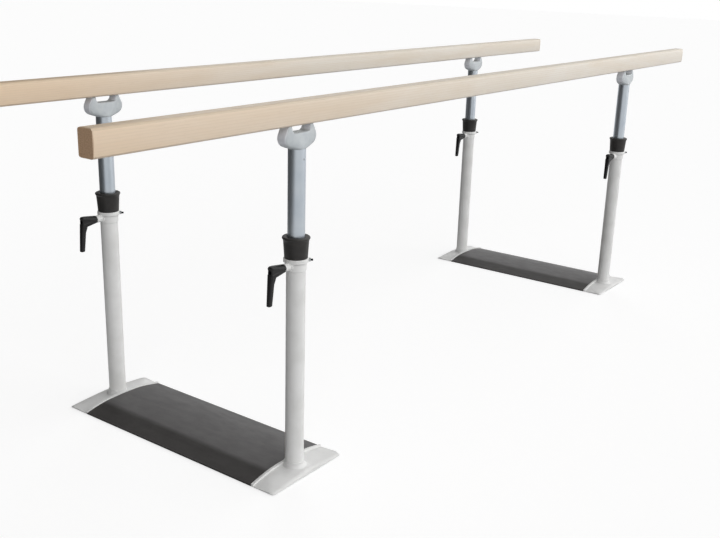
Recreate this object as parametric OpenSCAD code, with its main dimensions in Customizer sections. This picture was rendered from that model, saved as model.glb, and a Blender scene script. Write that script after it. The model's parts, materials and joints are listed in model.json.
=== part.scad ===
// Walking parallel bars for gait training: two wooden handrails on four telescopic
// posts, which stand in pairs on two arched tread bases. A ratchet clamping lever on
// each post locks the height.
// X runs along the handrails, Y across the walkway and Z up. The origin is on the
// floor at the centre of the four posts.

/* [Handrails] */
// Length of each handrail
rail_length = 3000; // [2000:50:4000]
// Height of the handrail section
rail_height = 54; // [44:1:66]
// Width of the handrail section
rail_width = 42; // [36:1:60]
// Radius of the long edges of a handrail
rail_edge_radius = 9; // [4:0.5:12]
// How far the side faces of a handrail bulge out at mid height
rail_side_crown = 1.5; // [0.5:0.1:3]
// Bevel round the sawn ends of a handrail
rail_end_bevel = 1.5; // [0.5:0.1:3]
// Height of the handrail tops above the floor as set
rail_top = 890; // [740:5:1080]

/* [Layout] */
// Distance between the two bases, post centre to post centre along the rails
post_spacing = 1882; // [1200:2:1890]
// Distance across the walkway, post centre to post centre
lane_spacing = 644; // [520:2:900]

/* [Posts] */
// Outside diameter of the fixed outer tube
outer_tube_od = 45; // [44:0.5:48]
// Wall of the outer tube
outer_tube_wall = 2; // [1.5:0.1:2.2]
// Outside diameter of the sliding inner tube
inner_tube_od = 40; // [34:0.5:40]
// Wall of the inner tube
inner_tube_wall = 2; // [1.5:0.1:3]
// Height of the outer tube top above the floor
outer_tube_top = 560; // [480:5:620]
// Length of the inner tube
inner_tube_length = 528; // [470:2:580]
// Radial running clearance of the guide bush and of the glide plug
guide_clearance = 0.08; // [0.04:0.01:0.1]
// Thickness of the glide plug flange below the inner tube
glide_flange = 8; // [5:0.5:14]
// Depth of the glide plug inside the inner tube
glide_depth = 25; // [15:1:40]

/* [Guide bush] */
// Length of the bush that sleeves down over the outer tube
bush_sleeve = 24.5; // [18:0.5:34]
// Length of the bush above the outer tube
bush_throat = 26; // [18:0.5:40]
// Wall of the bush at its lower edge
bush_wall = 4.2; // [3:0.1:5]
// Outside radius of the flared rim
bush_rim_radius = 32.2; // [30:0.1:38]
// Height of the flared rim
bush_rim_height = 7; // [5:0.5:10]

/* [Clamp ring] */
// Outside radius of the ring flange
ring_radius = 29; // [28:0.5:34]
// Height of the ring flange
ring_flange = 9.5; // [9:0.5:14]
// Height of the whole ring
ring_height = 30; // [28:0.5:40]
// Wall of the ring skirt
ring_skirt_wall = 1.8; // [1.2:0.1:3]
// How far the screw boss stands out from the post axis
boss_reach = 43; // [38:0.5:44]
// Radius of the screw boss
boss_radius = 9.5; // [8:0.5:11]
// Distance of the stud axis below the top of the ring
stud_drop = 15.5; // [14:0.5:18]
// Direction of the ring set screw round the post, in degrees from +X
set_screw_angle = -50; // [-80:5:80]

/* [Clamping lever] */
// Radius of the clamping stud
stud_radius = 5; // [4:0.5:5.5]
// Number of serration teeth between the stud head and the lever
tooth_count = 24; // [16:1:30]
// Tip radius of the serrations on the stud head
tooth_tip_radius = 7; // [6.6:0.1:7.2]
// Depth of the serrations
tooth_depth = 0.8; // [0.4:0.1:1]
// Length of the serrations
tooth_length = 8; // [6:0.5:9]
// Radius of the lever hub where it meets the post
hub_radius = 9; // [8.6:0.1:11]
// Distance of the handle's outer face from the post axis
lever_reach = 89; // [84:1:110]
// Drop of the handle below the stud axis
lever_drop = 77; // [60:1:110]
// How far the handle splays outwards below its elbow
handle_splay = 6.5; // [2:0.5:10]
// Width of the lever at its elbow
elbow_width = 15.5; // [14:0.5:18]
// Width of the handle at its tip
handle_tip_width = 10.5; // [8:0.5:16]
// Thickness of the handle at its tip
handle_tip_thickness = 9; // [6:0.5:12]
// Thickness of the lever at its elbow
elbow_thickness = 14; // [13:0.5:18]
// Pull on the lever that frees its serrations, kept clear in front of the spring
lever_pull = 4; // [2:0.5:5]

/* [Fork heads] */
// Height of the fork head from the inner tube to the rail
fork_height = 52; // [46:1:66]
// Half width of the fork head at its widest
fork_half_width = 52.5; // [50:0.5:60]
// Thickness of the fork head across the rail
fork_thickness = 26; // [22:1:36]
// Radius of the round shoulders of the fork head
fork_shoulder = 20; // [17:0.5:22]
// How far the prong tips are set in from the widest point
prong_inset = 12; // [8:0.5:14]
// Half width of the gap between the two prongs
fork_gap_half = 31; // [28:0.5:33]
// Depth of the gap below the rail
fork_gap_depth = 16; // [12:0.5:20]
// Depth of the fork spigot inside the inner tube
spigot_depth = 45; // [30:1:60]

/* [Bases] */
// Depth of a base along the rails
base_depth = 254; // [224:2:300]
// Height of the crown of the tread mat
tread_crown = 18.5; // [17:0.5:24]
// Height of the mat's long edges
tread_edge = 4.5; // [4.2:0.1:6]
// Distance from the long edge to the crown, along the ramp
tread_ramp = 55; // [45:1:70]
// Thickness of the rubber mat
mat_thickness = 4; // [2.5:0.1:4.5]
// Thickness of the steel tread plate
plate_thickness = 3; // [2:0.1:3.5]
// Distance of the outer tread screws from the middle of the base
outer_screw_x = 58; // [50:1:66]
// Distance of the inner tread screws from the middle of the base
inner_screw_x = 34; // [30:1:40]
// Distance from the post axis to the shoe's outer edge
shoe_outer = 45; // [40:0.5:60]
// Wall of the shoe between the post and the mat
shoe_wall = 2; // [1.5:0.1:8]
// Height of the shoe's lip above the mat
shoe_lip = 3.5; // [1:0.1:5]
// Width of the shoe's lip
shoe_lip_width = 6; // [4:0.5:8]
// Drop from the top of the lip to the sloping top of the shoe beside it
shoe_step = 5.5; // [2:0.5:7]
// Corner radius of a shoe in plan
shoe_corner = 7; // [4:0.5:20]
// Height of the shoe's outer edge beside the post
shoe_outer_height = 13; // [11:0.5:16]
// Height of the post socket above the shoe's outer edge
socket_height = 15; // [12:0.5:30]
// Wall of the post socket at its mouth
socket_wall = 1.5; // [1:0.1:1.9]
// Gap between the shoes and the floor
floor_gap = 1.5; // [1:0.1:2]
// Radius of the rubber feet
foot_radius = 11; // [8:0.5:14]

/* [Hidden] */

$fn = 64;
// Overshoot that keeps cuts clear of the faces that they pass through
over = 1;
// Gap of a screw or pin in its hole
fit_gap = 0.05;
// Gap of a piece that is pushed into or over another
push_gap = 0.1;
// Gap between the tread pieces and the shoes, and of the rubber in its recess
seat_gap = 0.3;
// Space beyond the tip of a screw in its hole
tip_gap = 1;
// Gap round a screw head in its recess
head_gap = 0.5;
// Depth of the hexagon socket in a screw head
hex_depth = 3;
// Height of a cutter that passes right through a base
cut_height = 80;

// Levels of the post, from the floor up
outer_tube_radius = outer_tube_od / 2;
outer_tube_bore = outer_tube_radius - outer_tube_wall;
inner_tube_radius = inner_tube_od / 2;
inner_tube_bore = inner_tube_radius - inner_tube_wall;
rail_underside = rail_top - rail_height;
inner_tube_top = rail_underside - fork_height;
inner_tube_bottom = inner_tube_top - inner_tube_length;
ring_top = outer_tube_top - bush_sleeve;
ring_skirt_radius = outer_tube_radius + push_gap + ring_skirt_wall;
stud_level = ring_top - stud_drop;
set_screw_level = ring_top - ring_flange / 2;
glide_bore = 8;
set_screw_radius = 2.5;
set_screw_end = 5.5;
lock_nut_flats = 8;
lock_nut_height = 4;

// Lever, measured outwards from the post axis
pad_face = inner_tube_radius + seat_gap;
pad_thickness = 1.7;
pad_back = pad_face + pad_thickness;
hub_start = boss_reach + 2;
teeth_start = hub_start + 2.5;
teeth_end = teeth_start + tooth_length;
tooth_gap = 0.15;
grip_start = teeth_end - lever_pull + seat_gap;
lever_screw_radius = 2.5;
screw_head_radius = 4.3;
screw_head_height = 4.5;
screw_head_end = lever_reach - 1.5;
screw_head_start = screw_head_end - screw_head_height;
spring_length = 20;
spring_start = screw_head_start - spring_length;
spring_chamber_radius = 4.9;
spring_coil_radius = 3.7;
spring_wire_radius = 0.5;
spring_turns = 6;

// Fork fixings
fork_neck_radius = inner_tube_radius;
spigot_radius = inner_tube_bore - push_gap;
prong_screw_x = (fork_gap_half + fork_half_width - prong_inset) / 2;
prong_screw_radius = 2.5;
prong_screw_head_radius = 4.3;
prong_screw_head_height = 5;
prong_screw_seat = fork_height - fork_gap_depth - 2;
prong_screw_bite = 32;
fork_pin_radius = 2.5;
fork_pin_inset = 1;
fork_edge = 2.5;
shoulder_level = fork_height / 2;

// Base levels
shoe_ledge = 35;
shoe_floor = 8.5;
shoe_tip_height = 5;
shoe_brow = 3;
socket_flare = 9;
socket_rise = 12;
shoe_skin = 3.2;
pocket_rib = 4;
plate_margin = 22;
ledge_margin = 30;
rib_x = 48;
rib_width = 6;
tread_dome = 2.5;
post_seat = floor_gap + shoe_floor + 1;
socket_radius = outer_tube_radius + push_gap + 4;
shoe_inner = outer_tube_radius + push_gap + shoe_wall;
tread_half_length = lane_spacing / 2 - shoe_inner - seat_gap;
tread_screw_radius = 3;
tread_screw_head_radius = 5.4;
tread_screw_head_height = 2.4;
tread_screw_bite = 4;
tread_screw_sink = 0.6;
tread_hole_skin = 0.6;
tread_screw_x = [-outer_screw_x, -inner_screw_x, inner_screw_x, outer_screw_x];
post_bolt_radius = 5;
post_bolt_head_radius = 8;
post_bolt_head_height = 5;
post_plug_length = 30;
post_bolt_bite = 26;
bolt_seat = floor_gap + head_gap + post_bolt_head_height;
foot_thickness = floor_gap + 1;
foot_x = base_depth / 2 - foot_radius - shoe_corner;
foot_y = (shoe_outer - shoe_inner) / 2;

// Smooth lower bound of two heights
function blend_min(a, b, k) =
  let (h = max(k - abs(a - b), 0) / k) min(a, b) - h * h * k / 4;

// Height of the mat's top face at a distance x from the middle of the base
ramp_slope = (tread_crown - tread_edge - tread_dome) / tread_ramp;
crown_fall = tread_dome / pow(base_depth / 2 - tread_ramp, 2);
function tread_height(x) =
  blend_min(tread_crown - crown_fall * x * x,
            tread_edge + ramp_slope * (base_depth / 2 - abs(x)), 4);

// Handrail section in the YZ plane, centred, with the bulging sides as true arcs
module rail_section() {
  half_w = rail_width / 2;
  half_h = rail_height / 2;
  side_radius = (half_h * half_h + rail_side_crown * rail_side_crown) / (2 * rail_side_crown);
  intersection() {
    rounded_rectangle(rail_width, rail_height, rail_edge_radius);
    translate([half_w - side_radius, 0]) circle(r = side_radius, $fn = 256);
    translate([side_radius - half_w, 0]) circle(r = side_radius, $fn = 256);
  }
}

module rounded_rectangle(w, h, r) {
  square([w - 2 * r, h], center = true);
  square([w, h - 2 * r], center = true);
  for (x = [-1, 1], y = [-1, 1])
    translate([x * (w / 2 - r), y * (h / 2 - r)]) circle(r = r);
}

// A cylinder that starts at the origin and runs along X
module x_cylinder(r, h) {
  rotate([0, 90, 0]) cylinder(r = r, h = h);
}

// Cut for a hexagon socket that opens downwards from the origin along Z
module hex_socket(flats) {
  translate([0, 0, -over]) cylinder(r = flats / sqrt(3), h = hex_depth + over, $fn = 6);
}

// Places children at one post: end -1 is the front base, side 1 is the left rail
module at_post(end, side) {
  translate([end * post_spacing / 2, side * lane_spacing / 2, 0]) children();
}

// Turns children so that their X axis points to the lever side of a post, at stud level
module at_stud() {
  translate([0, 0, stud_level]) rotate([0, 0, 180]) children();
}

module at_set_screw() {
  translate([0, 0, set_screw_level]) rotate([0, 0, set_screw_angle]) children();
}

// Handrail of solid beech with pilot holes for the fork screws
module rail(side) {
  color("burlywood")
  translate([0, side * lane_spacing / 2, rail_top - rail_height / 2])
  difference() {
    rotate([90, 0, 90])
      translate([0, 0, -rail_length / 2]) linear_extrude(rail_length) rail_section();
    for (end = [-1, 1]) translate([end * rail_length / 2, 0, 0]) rail_end_bevels();
    for (end = [-1, 1], prong = [-1, 1])
      translate([end * post_spacing / 2 + prong * prong_screw_x, 0, -rail_height / 2 - over])
        cylinder(r = prong_screw_radius + fit_gap, h = prong_screw_bite + over);
  }
}

// Four bevel cuts round one sawn end of the rail
module rail_end_bevels() {
  cut = rail_end_bevel * sqrt(2);
  for (y = [-1, 1]) translate([0, y * rail_width / 2, 0])
    rotate([0, 0, 45]) cube([cut, cut, rail_height + 2 * over], center = true);
  for (z = [-1, 1]) translate([0, 0, z * rail_height / 2])
    rotate([0, 45, 0]) cube([cut, rail_width + 2 * over, cut], center = true);
}

// Cast fork head: a round neck that widens into a bowl with two short prongs
module fork() {
  lobe_x = fork_half_width - fork_shoulder;
  color("gainsboro")
  translate([0, 0, inner_tube_top])
  difference() {
    union() {
      hull() {
        cylinder(r = fork_neck_radius, h = 2, $fn = 32);
        for (x = [-1, 1]) translate([x * lobe_x, 0, shoulder_level]) rotate([90, 0, 0]) {
          cylinder(r = fork_shoulder, h = fork_thickness - 2 * fork_edge, center = true, $fn = 32);
          cylinder(r = fork_shoulder - fork_edge, h = fork_thickness, center = true, $fn = 32);
        }
        translate([0, 0, fork_height - 1])
          cube([2 * (fork_half_width - prong_inset), fork_thickness - 2, 2], center = true);
      }
      translate([0, 0, -spigot_depth]) cylinder(r = spigot_radius, h = spigot_depth + 1);
    }
    translate([0, 0, fork_height - fork_gap_depth]) fork_gap();
    for (x = [-1, 1]) translate([x * prong_screw_x, 0, -over]) {
      cylinder(r = prong_screw_radius + seat_gap, h = fork_height + 2 * over);
      cylinder(r = prong_screw_head_radius + head_gap, h = prong_screw_seat + over);
    }
    fork_pin_hole();
  }
}

// Gap between the prongs, cut through the fork with rounded corners
module fork_gap() {
  corner = min(10, fork_gap_depth - 1);
  rotate([90, 0, 0]) translate([0, 0, -fork_thickness]) linear_extrude(2 * fork_thickness) {
    for (x = [-1, 1]) translate([x * (fork_gap_half - corner), corner]) circle(r = corner);
    translate([corner - fork_gap_half, 0]) square([2 * (fork_gap_half - corner), corner]);
    translate([-fork_gap_half, corner]) square([2 * fork_gap_half, fork_gap_depth]);
  }
}

module fork_pin_hole() {
  translate([0, 0, -spigot_depth / 2]) rotate([90, 0, 0])
    cylinder(r = fork_pin_radius + fit_gap, h = 2 * inner_tube_radius + 2 * over, center = true);
}

// Spring pin that holds the fork spigot in the inner tube
module fork_pin() {
  translate([0, 0, inner_tube_top - spigot_depth / 2]) rotate([90, 0, 0])
    cylinder(r = fork_pin_radius, h = inner_tube_od - 2 * fork_pin_inset, center = true);
}

// Sliding inner tube, chromed steel
module inner_tube() {
  color("silver")
  translate([0, 0, inner_tube_bottom])
  difference() {
    cylinder(r = inner_tube_radius, h = inner_tube_length);
    translate([0, 0, -over]) cylinder(r = inner_tube_bore, h = inner_tube_length + 2 * over);
    translate([0, 0, inner_tube_length]) fork_pin_hole();
  }
}

// Nylon plug that centres the foot of the inner tube in the outer tube
module glide_plug() {
  glide_radius = outer_tube_bore - guide_clearance;
  chamfer = 1.2;
  translate([0, 0, inner_tube_bottom])
  rotate_extrude() polygon([
    [glide_bore, -glide_flange], [glide_radius - chamfer, -glide_flange],
    [glide_radius, chamfer - glide_flange], [glide_radius, 0],
    [inner_tube_bore - push_gap, 0], [inner_tube_bore - push_gap, glide_depth - chamfer],
    [inner_tube_bore - push_gap - chamfer, glide_depth], [glide_bore, glide_depth]
  ]);
}

// Socket screw that holds a prong to the rail
module prong_screw() {
  translate([0, 0, inner_tube_top + prong_screw_seat]) {
    cylinder(r = prong_screw_radius,
             h = fork_height - prong_screw_seat + prong_screw_bite - tip_gap);
    translate([0, 0, -prong_screw_head_height]) difference() {
      cylinder(r = prong_screw_head_radius, h = prong_screw_head_height);
      hex_socket(4);
    }
  }
}

// Fixed outer tube, white powder coat
module outer_tube() {
  color("white")
  difference() {
    translate([0, 0, post_seat]) cylinder(r = outer_tube_radius, h = outer_tube_top - post_seat);
    translate([0, 0, post_seat - over])
      cylinder(r = outer_tube_bore, h = outer_tube_top - post_seat + 2 * over);
    at_stud() x_cylinder(stud_radius + fit_gap, outer_tube_radius + over);
  }
}

// Moulded guide bush with a flared rim, round the mouth of the outer tube
module guide_bush() {
  sleeve_bore = outer_tube_radius + push_gap;
  low_radius = sleeve_bore + bush_wall;
  throat = inner_tube_radius + guide_clearance;
  neck_radius = (low_radius + bush_rim_radius) / 2;
  height = bush_sleeve + bush_throat;
  rim = bush_rim_height;
  mouth_cut = 3;
  color("dimgray")
  translate([0, 0, ring_top])
  rotate_extrude($fn = 96) difference() {
    union() {
      polygon([
        [sleeve_bore, 0], [low_radius - 1, 0], [low_radius, 1],
        [neck_radius, height - rim - 3], [bush_rim_radius - 1, height - 0.7 * rim],
        [bush_rim_radius - rim / 2, height], [throat, height], [throat, bush_sleeve],
        [sleeve_bore, bush_sleeve]
      ]);
      translate([bush_rim_radius - rim / 2, height - rim / 2]) circle(r = rim / 2);
      translate([throat, height - rim / 2])
        square([bush_rim_radius - rim / 2 - throat, rim / 2]);
    }
    translate([throat, height]) rotate(45) square(mouth_cut, center = true);
  }
}

// Clamp ring: a flange under the bush, a thin skirt and a boss for the clamping stud
module clamp_ring() {
  bore = outer_tube_radius + push_gap;
  cove = ring_radius - ring_skirt_radius - 1;
  color("white")
  difference() {
    union() {
      translate([0, 0, ring_top - ring_height]) rotate_extrude($fn = 96) difference() {
        polygon([
          [bore, 0], [bore + 0.5, 0], [ring_skirt_radius, 3],
          [ring_skirt_radius, ring_height - ring_flange - cove],
          [ring_radius - 1, ring_height - ring_flange],
          [ring_radius, ring_height - ring_flange + 1], [ring_radius, ring_height - 1],
          [ring_radius - 1, ring_height], [bore, ring_height]
        ]);
        translate([ring_skirt_radius + cove, ring_height - ring_flange - cove]) circle(r = cove);
      }
      at_stud() {
        x_cylinder(boss_radius, boss_reach);
        x_cylinder(boss_radius + 1.5, ring_skirt_radius + 2);
      }
    }
    translate([0, 0, ring_top - ring_height - over])
      cylinder(r = bore, h = ring_height + 2 * over);
    at_stud() x_cylinder(stud_radius + fit_gap, boss_reach + over);
    at_set_screw() x_cylinder(set_screw_radius + fit_gap, ring_radius + over);
  }
}

// Headless set screw that keeps the clamp ring from turning on the outer tube
module set_screw() {
  screw_start = outer_tube_radius + fit_gap;
  screw_tip = ring_radius + push_gap + lock_nut_height + set_screw_end;
  at_set_screw() difference() {
    translate([screw_start, 0, 0]) x_cylinder(set_screw_radius, screw_tip - screw_start);
    translate([screw_tip, 0, 0]) rotate([0, -90, 0]) hex_socket(2.5);
  }
}

module lock_nut() {
  at_set_screw() translate([ring_radius + push_gap, 0, 0]) difference() {
    rotate([0, 90, 0]) cylinder(r = lock_nut_flats / sqrt(3), h = lock_nut_height, $fn = 6);
    translate([-over, 0, 0])
      x_cylinder(set_screw_radius + fit_gap, lock_nut_height + 2 * over);
  }
}

// Brass pad that the stud presses against the inner tube
module pressure_pad() {
  at_stud() translate([pad_face, 0, 0]) x_cylinder(stud_radius - push_gap, pad_thickness);
}

// Points of a serrated ring
function serration(tip, root) =
  [for (i = [0:2 * tooth_count - 1])
    let (a = 180 * i / tooth_count, r = i % 2 == 0 ? tip : root) [r * cos(a), r * sin(a)]];

// Clamping stud with its serrated head
module stud() {
  color("lightsteelblue")
  at_stud() difference() {
    union() {
      translate([pad_back, 0, 0]) x_cylinder(stud_radius, teeth_end - pad_back);
      translate([teeth_start, 0, 0]) rotate([0, 90, 0])
        linear_extrude(tooth_length)
          polygon(serration(tooth_tip_radius, tooth_tip_radius - tooth_depth));
    }
    translate([teeth_start + 1, 0, 0]) x_cylinder(lever_screw_radius + fit_gap, tooth_length);
  }
}

// One rounded slice of the handle, square to the drop
module handle_slice(u0, u1, v, thickness, corner) {
  for (u = [u0 + corner, u1 - corner], y = [corner - thickness / 2, thickness / 2 - corner])
    translate([u, y, v]) cylinder(r = corner, h = 0.5, center = true, $fn = 20);
}

// Angled clamping lever, hollow hub with internal serrations and a spring chamber
module lever() {
  elbow_in = lever_reach - elbow_width;
  elbow_rise = 12;
  elbow_drop = 12;
  bend_drop = 28;
  bend_width = 12;
  bend_out = lever_reach + 0.4 * handle_splay;
  bend_thickness = (elbow_thickness + handle_tip_thickness) / 2;
  tip_out = lever_reach + handle_splay;
  color("dimgray")
  at_stud() difference() {
    union() {
      hull() {
        translate([hub_start, 0, 0]) rotate([0, 90, 0])
          cylinder(r = hub_radius, h = tooth_length, $fn = 32);
        handle_slice(elbow_in, lever_reach, elbow_rise - 2.5, elbow_thickness, 4);
        handle_slice(elbow_in + 2, lever_reach - 2, elbow_rise, elbow_thickness - 4, 3);
        handle_slice(elbow_in, lever_reach + 1, -elbow_drop, elbow_thickness, 4);
      }
      hull() {
        handle_slice(elbow_in, lever_reach + 1, -elbow_drop, elbow_thickness, 4);
        handle_slice(bend_out - bend_width, bend_out, -bend_drop, bend_thickness, 3);
      }
      hull() {
        handle_slice(bend_out - bend_width, bend_out, -bend_drop, bend_thickness, 3);
        handle_slice(tip_out - handle_tip_width, tip_out, 1 - lever_drop, handle_tip_thickness, 3);
        handle_slice(tip_out - handle_tip_width + 1, tip_out - 1, -lever_drop,
                     handle_tip_thickness - 2, 2);
      }
    }
    translate([hub_start - over, 0, 0])
      x_cylinder(tooth_tip_radius + 2 * tooth_gap, grip_start - hub_start + over);
    translate([grip_start - over, 0, 0]) rotate([0, 90, 0])
      linear_extrude(teeth_end + over - grip_start)
        polygon(serration(tooth_tip_radius + tooth_gap,
                          tooth_tip_radius - tooth_depth + tooth_gap));
    translate([teeth_end, 0, 0]) x_cylinder(lever_screw_radius + seat_gap, lever_reach);
    translate([spring_start, 0, 0]) x_cylinder(spring_chamber_radius, lever_reach);
  }
}

// Spring that holds the lever on the serrations, between the hub and the screw head
module lever_spring() {
  wire = spring_wire_radius;
  free = spring_length - 2 * wire;
  sides = 5;
  steps = 12;
  rings = spring_turns * steps;
  points = [for (i = [0:rings], j = [0:sides - 1])
    let (a = 360 * i / steps, b = 360 * j / sides, r = spring_coil_radius + wire * cos(b))
      [spring_start + wire + free * i / rings + wire * sin(b), r * cos(a), r * sin(a)]];
  walls = [for (i = [0:rings - 1], j = [0:sides - 1])
    let (k = (j + 1) % sides) each [
      [i * sides + j, i * sides + k, (i + 1) * sides + k],
      [i * sides + j, (i + 1) * sides + k, (i + 1) * sides + j]]];
  caps = [[for (j = [0:sides - 1]) sides - 1 - j], [for (j = [0:sides - 1]) rings * sides + j]];
  color("silver") at_stud() polyhedron(points, concat(walls, caps));
}

// Screw that keeps the lever on the stud
module lever_screw() {
  color("silver")
  at_stud() difference() {
    union() {
      translate([teeth_start + 2, 0, 0])
        x_cylinder(lever_screw_radius, screw_head_start - teeth_start - 2);
      translate([screw_head_start, 0, 0]) x_cylinder(screw_head_radius, screw_head_height);
    }
    translate([screw_head_end, 0, 0]) rotate([0, -90, 0]) hex_socket(4);
  }
}

// Profile of a layer of the tread, between two depths below the mat's top face
module tread_layer(half, upper, lower, floor) {
  stations = [for (i = [-18:18]) let (x = base_depth * i / 36) if (abs(x) <= half + 0.01) x];
  polygon(concat(
    [for (x = stations) [x, tread_height(x) - upper]],
    [for (i = [len(stations) - 1:-1:0])
      [stations[i], max(tread_height(stations[i]) - lower, floor)]]));
}

// Extrudes a profile in the XZ plane along Y
module across(y0, y1) {
  translate([0, y1, 0]) rotate([90, 0, 0]) linear_extrude(y1 - y0) children();
}

// Rubber tread mat, arched over the plate
module tread_mat(end) {
  color([0.30, 0.30, 0.30])
  translate([end * post_spacing / 2, 0, 0])
    across(-tread_half_length, tread_half_length)
      tread_layer(base_depth / 2, 0, mat_thickness, floor_gap - 0.5);
}

// Steel tread plate with two welded stiffening flats below
module tread_plate(end) {
  lower = mat_thickness + plate_thickness;
  rib_half_length = tread_half_length - shoe_ledge - 2;
  hole_radius = tread_screw_radius + seat_gap;
  sink_radius = tread_screw_head_radius + head_gap;
  color("gray")
  translate([end * post_spacing / 2, 0, 0])
  difference() {
    union() {
      across(-tread_half_length, tread_half_length)
        tread_layer(base_depth / 2 - plate_margin, mat_thickness, lower, floor_gap);
      for (x = [-rib_x, rib_x]) across(-rib_half_length, rib_half_length)
        translate([x - rib_width / 2, floor_gap + 0.5])
          square([rib_width, tread_height(x) - lower - floor_gap]);
    }
    at_tread_screws() {
      cylinder(r = hole_radius, h = cut_height, center = true);
      cylinder(r1 = hole_radius, r2 = sink_radius, h = tread_screw_head_height);
      translate([0, 0, tread_screw_head_height]) cylinder(r = sink_radius, h = cut_height);
    }
  }
}

// Places children at the seats of the countersunk screws of one base
module at_tread_screws() {
  for (side = [-1, 1], x = tread_screw_x)
    translate([x, side * (tread_half_length - shoe_ledge / 2),
               tread_height(x) - mat_thickness - tread_screw_head_height - tread_screw_sink])
      children();
}

module tread_screw() {
  cylinder(r1 = tread_screw_radius, r2 = tread_screw_head_radius, h = tread_screw_head_height);
  translate([0, 0, -tread_screw_bite])
    cylinder(r = tread_screw_radius, h = tread_screw_bite + 0.1);
}

// Height of a shoe's sloping top where it meets the outer edge, at a distance x from its middle
function shoe_outer_top(x) =
  let (run = abs(x) / (base_depth / 2))
    shoe_tip_height + (shoe_outer_height - shoe_tip_height) * (1 - pow(run, 1.3));

// Section of a shoe's body at a distance x from its middle
module shoe_slice(x) {
  beyond = max(0, abs(x) - base_depth / 2 + shoe_corner);
  edge = shoe_inner + shoe_outer - shoe_corner + sqrt(shoe_corner * shoe_corner - beyond * beyond);
  inner_top = tread_height(x) + shoe_lip - shoe_step;
  outer_top = shoe_outer_top(x);
  translate([x, -shoe_inner, 0]) rotate([90, 0, 90]) linear_extrude(0.02, center = true) polygon([
    [0, floor_gap], [0, inner_top], [shoe_lip_width, inner_top],
    [edge - 3 * shoe_brow, outer_top + shoe_brow / 3],
    [edge - shoe_brow, outer_top - shoe_brow / 2],
    [edge, outer_top - shoe_tip_height + floor_gap], [edge, floor_gap]
  ]);
}

// Lip that stands above the mat along the inner edge of a shoe
module shoe_lip_rib() {
  across(-shoe_inner, shoe_lip_width - shoe_inner)
    tread_layer(base_depth / 2, -shoe_lip, tread_crown, floor_gap);
}

// Body of a shoe, blended through its slices
module shoe_casting() {
  half = base_depth / 2;
  stations = [0, 0.2, 0.4, 0.56, 0.76, 1 - shoe_corner / half, 1 - 0.3 * shoe_corner / half, 1];
  hull() for (k = stations, end = [-1, 1]) shoe_slice(end * k * half);
}

// Socket for the outer tube, flared where it meets the top of the casting
module shoe_socket() {
  rim = outer_tube_radius + push_gap + socket_wall;
  foot = shoe_outer_height - 1;
  top = shoe_outer_height + socket_height;
  under_plate = tread_height(socket_radius) - mat_thickness - plate_thickness - seat_gap;
  translate([0, 0, floor_gap]) cylinder(r = socket_radius, h = under_plate - floor_gap);
  intersection() {
    rotate_extrude() polygon(concat(
      [[0, floor_gap + 1], [rim + socket_flare, floor_gap + 1]],
      [for (t = [0:0.125:1]) [rim + socket_flare * pow(1 - t, 2), foot + socket_rise * t]],
      [[rim, top - 0.5], [rim - 0.5, top], [0, top]]));
    translate([-base_depth / 2, -shoe_inner, 0])
      cube([base_depth, shoe_inner + shoe_outer, cut_height]);
  }
}

// Hollows under the two wings of a shoe, with a rib across each
module shoe_pockets() {
  start = socket_radius + 5;
  stop = foot_x - foot_radius - 4;
  middle = (start + stop) / 2;
  for (end = [-1, 1], reach = [[start, middle - pocket_rib / 2], [middle + pocket_rib / 2, stop]])
    across(shoe_lip_width - shoe_inner, shoe_outer - 3 * shoe_brow)
      polygon([
        [end * reach[0], 0], [end * reach[0], shoe_outer_top(reach[0]) - shoe_skin],
        [end * reach[1], shoe_outer_top(reach[1]) - shoe_skin], [end * reach[1], 0]
      ]);
}

// Cast end shoe, drawn for the left side with its outer edge towards +Y
module shoe(side) {
  mirror_y = side < 0 ? 1 : 0;
  lower = mat_thickness + plate_thickness;
  color("whitesmoke")
  mirror([0, mirror_y, 0])
  difference() {
    union() {
      shoe_casting();
      shoe_lip_rib();
      shoe_socket();
      across(-shoe_inner - shoe_ledge, -shoe_inner + 1)
        tread_layer(base_depth / 2 - ledge_margin, lower, tread_crown, floor_gap);
    }
    shoe_pockets();
    translate([0, 0, post_seat]) cylinder(r = outer_tube_radius + push_gap, h = cut_height);
    cylinder(r = post_bolt_radius + seat_gap, h = cut_height);
    translate([0, 0, -over]) cylinder(r = post_bolt_head_radius + head_gap, h = bolt_seat + over);
    for (x = [-1, 1]) translate([x * foot_x, foot_y, -over])
      cylinder(r = foot_radius + push_gap, h = foot_thickness + over);
    for (x = tread_screw_x)
      translate([x, -shoe_inner - seat_gap - shoe_ledge / 2, floor_gap + tread_hole_skin])
        cylinder(r = tread_screw_radius + fit_gap, h = cut_height);
  }
}

// Threaded plug in the foot of the outer tube
module post_plug() {
  translate([0, 0, post_seat]) difference() {
    cylinder(r = outer_tube_bore - push_gap, h = post_plug_length);
    translate([0, 0, -over]) cylinder(r = post_bolt_radius + fit_gap,
                                      h = post_plug_length + 2 * over);
  }
}

// Bolt from below that pulls the tube into the shoe
module post_bolt() {
  translate([0, 0, bolt_seat]) {
    cylinder(r = post_bolt_radius, h = post_seat - bolt_seat + post_bolt_bite);
    translate([0, 0, -post_bolt_head_height]) difference() {
      cylinder(r = post_bolt_head_radius, h = post_bolt_head_height);
      hex_socket(6);
    }
  }
}

// Round rubber foot in its recess under a shoe
module rubber_foot() {
  chamfer = 0.6;
  rotate_extrude() polygon([
    [0, 0], [foot_radius - chamfer, 0], [foot_radius, chamfer],
    [foot_radius, foot_thickness], [0, foot_thickness]
  ]);
}

module glide_plugs(side) {
  color("ivory") for (end = [-1, 1]) at_post(end, side) glide_plug();
}

module fork_pins(side) {
  color("silver") for (end = [-1, 1]) at_post(end, side) fork_pin();
}

module rail_screws(side) {
  color("silver") for (end = [-1, 1], prong = [-1, 1])
    at_post(end, side) translate([prong * prong_screw_x, 0, 0]) prong_screw();
}

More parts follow.
